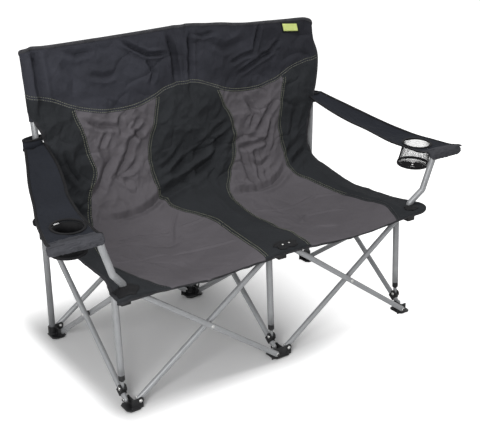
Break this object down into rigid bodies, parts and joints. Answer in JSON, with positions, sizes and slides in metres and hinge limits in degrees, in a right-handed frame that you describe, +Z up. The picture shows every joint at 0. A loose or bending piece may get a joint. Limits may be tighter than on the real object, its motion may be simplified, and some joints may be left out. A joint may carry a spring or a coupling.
{
  "type": "folding camping loveseat",
  "caption": "Quad-fold camping loveseat: scissor-linked tube frame with plastic joints, a fabric sling seat and back, and fabric arms with cup holders.",
  "frame": {"origin": "centre of the bounding box at floor level, between the two rows of feet, chair opened out", "axes": "+X to the left-hand side of a person sitting in it, +Y to the back, +Z up"},
  "size_m": [1.384, 0.5978, 0.8921],
  "materials": {
    "tube_grey": "silver-grey powder coat, satin",
    "joint_plastic": "moulded, lightly textured",
    "rivet_steel": "zinc plated",
    "charcoal_cloth": "coated woven polyester",
    "cup_fabric": "open polyester net with woven binding",
    "tag_fabric": "bare woven patch"
  },
  "bodies": {
    "frame": {"foot_rear_centre": "joint_plastic", "back_pole_centre": "tube_grey", "pole_sleeve_centre": "charcoal_cloth", "back_cloth": "charcoal_cloth", "corner_tag": "tag_fabric"},
    "foot_rear_left": {"foot_rear_left": "joint_plastic", "back_pole_left": "tube_grey", "pole_sleeve_left": "charcoal_cloth"},
    "foot_rear_right": {"foot_rear_right": "joint_plastic", "back_pole_right": "tube_grey", "pole_sleeve_right": "charcoal_cloth"},
    "seat_front": {"seat_cloth_front": "charcoal_cloth"},
    "seat_rear": {"seat_cloth_rear": "charcoal_cloth"},
    "side_centre_up_front": {"side_centre_bar_up_front": "tube_grey", "side_centre_crossing_rivet": "rivet_steel"},
    "side_centre_up_back": {"side_centre_bar_up_back": "tube_grey"},
    "foot_front_centre": {"foot_front_centre": "joint_plastic"},
    "hub_centre": {"hub_centre": "joint_plastic"},
    "slider_centre": {"slider_centre": "joint_plastic"},
    "front_post_centre": {"front_post_centre": "tube_grey", "post_plug_centre": "joint_plastic"},
    "clevis_centre": {"clevis_centre": "joint_plastic"},
    "side_left_up_front": {"side_left_bar_up_front": "tube_grey", "side_left_crossing_rivet": "rivet_steel"},
    "side_left_up_back": {"side_left_bar_up_back": "tube_grey"},
    "foot_front_left": {"foot_front_left": "joint_plastic"},
    "hub_left": {"hub_left": "joint_plastic", "arm_post_left": "tube_grey", "arm_cloth_left": "charcoal_cloth", "cup_left": "cup_fabric"},
    "slider_left": {"slider_left": "joint_plastic"},
    "front_post_left": {"front_post_left": "tube_grey", "post_plug_left": "joint_plastic"},
    "clevis_left": {"clevis_left": "joint_plastic"},
    "side_right_up_front": {"side_right_bar_up_front": "tube_grey", "side_right_crossing_rivet": "rivet_steel"},
    "side_right_up_back": {"side_right_bar_up_back": "tube_grey"},
    "foot_front_right": {"foot_front_right": "joint_plastic"},
    "hub_right": {"hub_right": "joint_plastic", "arm_post_right": "tube_grey", "arm_cloth_right": "charcoal_cloth", "cup_right": "cup_fabric"},
    "slider_right": {"slider_right": "joint_plastic"},
    "front_post_right": {"front_post_right": "tube_grey", "post_plug_right": "joint_plastic"},
    "clevis_right": {"clevis_right": "joint_plastic"},
    "rear_left_up_left": {"rear_left_bar_up_left": "tube_grey"},
    "rear_left_up_right": {"rear_left_bar_up_right": "tube_grey", "rear_left_crossing_rivet": "rivet_steel"},
    "rear_right_up_right": {"rear_right_bar_up_right": "tube_grey"},
    "rear_right_up_left": {"rear_right_bar_up_left": "tube_grey", "rear_right_crossing_rivet": "rivet_steel"},
    "front_left_up_left": {"front_left_bar_up_left": "tube_grey"},
    "front_left_up_right": {"front_left_bar_up_right": "tube_grey", "front_left_crossing_rivet": "rivet_steel"},
    "front_right_up_right": {"front_right_bar_up_right": "tube_grey"},
    "front_right_up_left": {"front_right_bar_up_left": "tube_grey", "front_right_crossing_rivet": "rivet_steel"}
  },
  "joints": [
    {"name": "fold", "type": "hinge", "parent": "frame", "child": "side_centre_up_front", "pos_m": [0, 0.22, 0.02], "axis": [-1, 0, 0], "range_deg": [0, 40], "deforming": ["back_cloth", "seat_cloth_front", "seat_cloth_rear", "arm_cloth_left", "arm_cloth_right"]},
    {"name": "side_crossing_centre", "type": "hinge", "parent": "side_centre_up_front", "child": "side_centre_up_back", "pos_m": [0, -0.002, 0.182], "axis": [1, 0, 0], "range_deg": [0, 80]},
    {"name": "front_foot_pivot_centre", "type": "hinge", "parent": "side_centre_up_back", "child": "foot_front_centre", "pos_m": [0, -0.224, 0.02], "axis": [-1, 0, 0], "range_deg": [0, 40]},
    {"name": "hub_pivot_centre", "type": "hinge", "parent": "side_centre_up_front", "child": "hub_centre", "pos_m": [0, -0.224, 0.344], "axis": [1, 0, 0], "range_deg": [0, 40]},
    {"name": "slider_pivot_centre", "type": "hinge", "parent": "side_centre_up_back", "child": "slider_centre", "pos_m": [0, 0.22, 0.344], "axis": [-1, 0, 0], "range_deg": [0, 40]},
    {"name": "post_swing_centre", "type": "hinge", "parent": "hub_centre", "child": "front_post_centre", "pos_m": [0, -0.192, 0.335], "axis": [1, 0, 0], "range_deg": [0, 5.94]},
    {"name": "clevis_slide_centre", "type": "slide", "parent": "side_centre_up_back", "child": "clevis_centre", "axis": [0, 0.8078, 0.5895], "range_m": [0, 0.21281]},
    {"name": "rear_foot_pivot_left", "type": "hinge", "parent": "foot_rear_left", "child": "side_left_up_front", "pos_m": [-0.496, 0.22, 0.02], "axis": [-1, 0, 0], "range_deg": [0, 40]},
    {"name": "side_crossing_left", "type": "hinge", "parent": "side_left_up_front", "child": "side_left_up_back", "pos_m": [-0.496, -0.002, 0.182], "axis": [1, 0, 0], "range_deg": [0, 80]},
    {"name": "front_foot_pivot_left", "type": "hinge", "parent": "side_left_up_back", "child": "foot_front_left", "pos_m": [-0.496, -0.224, 0.02], "axis": [-1, 0, 0], "range_deg": [0, 40]},
    {"name": "hub_pivot_left", "type": "hinge", "parent": "side_left_up_front", "child": "hub_left", "pos_m": [-0.496, -0.224, 0.344], "axis": [1, 0, 0], "range_deg": [0, 40]},
    {"name": "slider_pivot_left", "type": "hinge", "parent": "side_left_up_back", "child": "slider_left", "pos_m": [-0.496, 0.22, 0.344], "axis": [-1, 0, 0], "range_deg": [0, 40]},
    {"name": "post_swing_left", "type": "hinge", "parent": "hub_left", "child": "front_post_left", "pos_m": [-0.496, -0.192, 0.335], "axis": [1, 0, 0], "range_deg": [0, 5.94]},
    {"name": "clevis_slide_left", "type": "slide", "parent": "side_left_up_back", "child": "clevis_left", "axis": [0, 0.8078, 0.5895], "range_m": [0, 0.21281]},
    {"name": "rear_foot_pivot_right", "type": "hinge", "parent": "foot_rear_right", "child": "side_right_up_front", "pos_m": [0.496, 0.22, 0.02], "axis": [-1, 0, 0], "range_deg": [0, 40]},
    {"name": "side_crossing_right", "type": "hinge", "parent": "side_right_up_front", "child": "side_right_up_back", "pos_m": [0.496, -0.002, 0.182], "axis": [1, 0, 0], "range_deg": [0, 80]},
    {"name": "front_foot_pivot_right", "type": "hinge", "parent": "side_right_up_back", "child": "foot_front_right", "pos_m": [0.496, -0.224, 0.02], "axis": [-1, 0, 0], "range_deg": [0, 40]},
    {"name": "hub_pivot_right", "type": "hinge", "parent": "side_right_up_front", "child": "hub_right", "pos_m": [0.496, -0.224, 0.344], "axis": [1, 0, 0], "range_deg": [0, 40]},
    {"name": "slider_pivot_right", "type": "hinge", "parent": "side_right_up_back", "child": "slider_right", "pos_m": [0.496, 0.22, 0.344], "axis": [-1, 0, 0], "range_deg": [0, 40]},
    {"name": "post_swing_right", "type": "hinge", "parent": "hub_right", "child": "front_post_right", "pos_m": [0.496, -0.192, 0.335], "axis": [1, 0, 0], "range_deg": [0, 5.94]},
    {"name": "clevis_slide_right", "type": "slide", "parent": "side_right_up_back", "child": "clevis_right", "axis": [0, 0.8078, 0.5895], "range_m": [0, 0.21281]},
    {"name": "rear_foot_pin_left", "type": "hinge", "parent": "frame", "child": "rear_left_up_left", "pos_m": [-0.026, 0.25, 0.025], "axis": [0, 1, 0], "range_deg": [0, 40]},
    {"name": "rear_crossing_left", "type": "hinge", "parent": "rear_left_up_left", "child": "rear_left_up_right", "pos_m": [-0.248, 0.25, 0.187], "axis": [0, -1, 0], "range_deg": [0, 80]},
    {"name": "rear_outer_pin_left", "type": "hinge", "parent": "rear_left_up_right", "child": "foot_rear_left", "pos_m": [-0.47, 0.25, 0.025], "axis": [0, 1, 0], "range_deg": [0, 40]},
    {"name": "rear_foot_pin_right", "type": "hinge", "parent": "frame", "child": "rear_right_up_right", "pos_m": [0.026, 0.25, 0.025], "axis": [0, -1, 0], "range_deg": [0, 40]},
    {"name": "rear_crossing_right", "type": "hinge", "parent": "rear_right_up_right", "child": "rear_right_up_left", "pos_m": [0.248, 0.25, 0.187], "axis": [0, 1, 0], "range_deg": [0, 80]},
    {"name": "rear_outer_pin_right", "type": "hinge", "parent": "rear_right_up_left", "child": "foot_rear_right", "pos_m": [0.47, 0.25, 0.025], "axis": [0, -1, 0], "range_deg": [0, 40]},
    {"name": "front_foot_pin_left", "type": "hinge", "parent": "foot_front_centre", "child": "front_left_up_left", "pos_m": [-0.026, -0.2602, 0.025], "axis": [0, 1, 0], "range_deg": [0, 40]},
    {"name": "front_crossing_left", "type": "hinge", "parent": "front_left_up_left", "child": "front_left_up_right", "pos_m": [-0.248, -0.2602, 0.187], "axis": [0, -1, 0], "range_deg": [0, 80]},
    {"name": "front_foot_pin_right", "type": "hinge", "parent": "foot_front_centre", "child": "front_right_up_right", "pos_m": [0.026, -0.2602, 0.025], "axis": [0, -1, 0], "range_deg": [0, 40]},
    {"name": "front_crossing_right", "type": "hinge", "parent": "front_right_up_right", "child": "front_right_up_left", "pos_m": [0.248, -0.2602, 0.187], "axis": [0, 1, 0], "range_deg": [0, 80]},
    {"name": "seat_front_fold", "type": "hinge", "parent": "hub_centre", "child": "seat_front", "pos_m": [0, -0.235, 0.366], "axis": [-1, 0, 0], "range_deg": [0, 59.62]},
    {"name": "seat_rear_fold", "type": "hinge", "parent": "slider_centre", "child": "seat_rear", "pos_m": [0, 0.218, 0.418], "axis": [1, 0, 0], "range_deg": [0, 65.86]}
  ],
  "couplings": [
    {"joint": "side_crossing_centre", "follows": "fold", "ratio": 2},
    {"joint": "front_foot_pivot_centre", "follows": "fold", "ratio": 1},
    {"joint": "hub_pivot_centre", "follows": "fold", "ratio": 1},
    {"joint": "slider_pivot_centre", "follows": "fold", "ratio": 1},
    {"joint": "post_swing_centre", "follows": "fold", "ratio": 0.1485},
    {"joint": "clevis_slide_centre", "follows": "fold", "m_per_rad": 0.30483},
    {"joint": "rear_foot_pivot_left", "follows": "fold", "ratio": 1},
    {"joint": "side_crossing_left", "follows": "fold", "ratio": 2},
    {"joint": "front_foot_pivot_left", "follows": "fold", "ratio": 1},
    {"joint": "hub_pivot_left", "follows": "fold", "ratio": 1},
    {"joint": "slider_pivot_left", "follows": "fold", "ratio": 1},
    {"joint": "post_swing_left", "follows": "fold", "ratio": 0.1485},
    {"joint": "clevis_slide_left", "follows": "fold", "m_per_rad": 0.30483},
    {"joint": "rear_foot_pivot_right", "follows": "fold", "ratio": 1},
    {"joint": "side_crossing_right", "follows": "fold", "ratio": 2},
    {"joint": "front_foot_pivot_right", "follows": "fold", "ratio": 1},
    {"joint": "hub_pivot_right", "follows": "fold", "ratio": 1},
    {"joint": "slider_pivot_right", "follows": "fold", "ratio": 1},
    {"joint": "post_swing_right", "follows": "fold", "ratio": 0.1485},
    {"joint": "clevis_slide_right", "follows": "fold", "m_per_rad": 0.30483},
    {"joint": "rear_foot_pin_left", "follows": "fold", "ratio": 1},
    {"joint": "rear_crossing_left", "follows": "fold", "ratio": 2},
    {"joint": "rear_outer_pin_left", "follows": "fold", "ratio": 1},
    {"joint": "rear_foot_pin_right", "follows": "fold", "ratio": 1},
    {"joint": "rear_crossing_right", "follows": "fold", "ratio": 2},
    {"joint": "rear_outer_pin_right", "follows": "fold", "ratio": 1},
    {"joint": "front_foot_pin_left", "follows": "fold", "ratio": 1},
    {"joint": "front_crossing_left", "follows": "fold", "ratio": 2},
    {"joint": "front_foot_pin_right", "follows": "fold", "ratio": 1},
    {"joint": "front_crossing_right", "follows": "fold", "ratio": 2},
    {"joint": "seat_front_fold", "follows": "fold", "ratio": 1.4906},
    {"joint": "seat_rear_fold", "follows": "fold", "ratio": 1.6464}
  ]
}
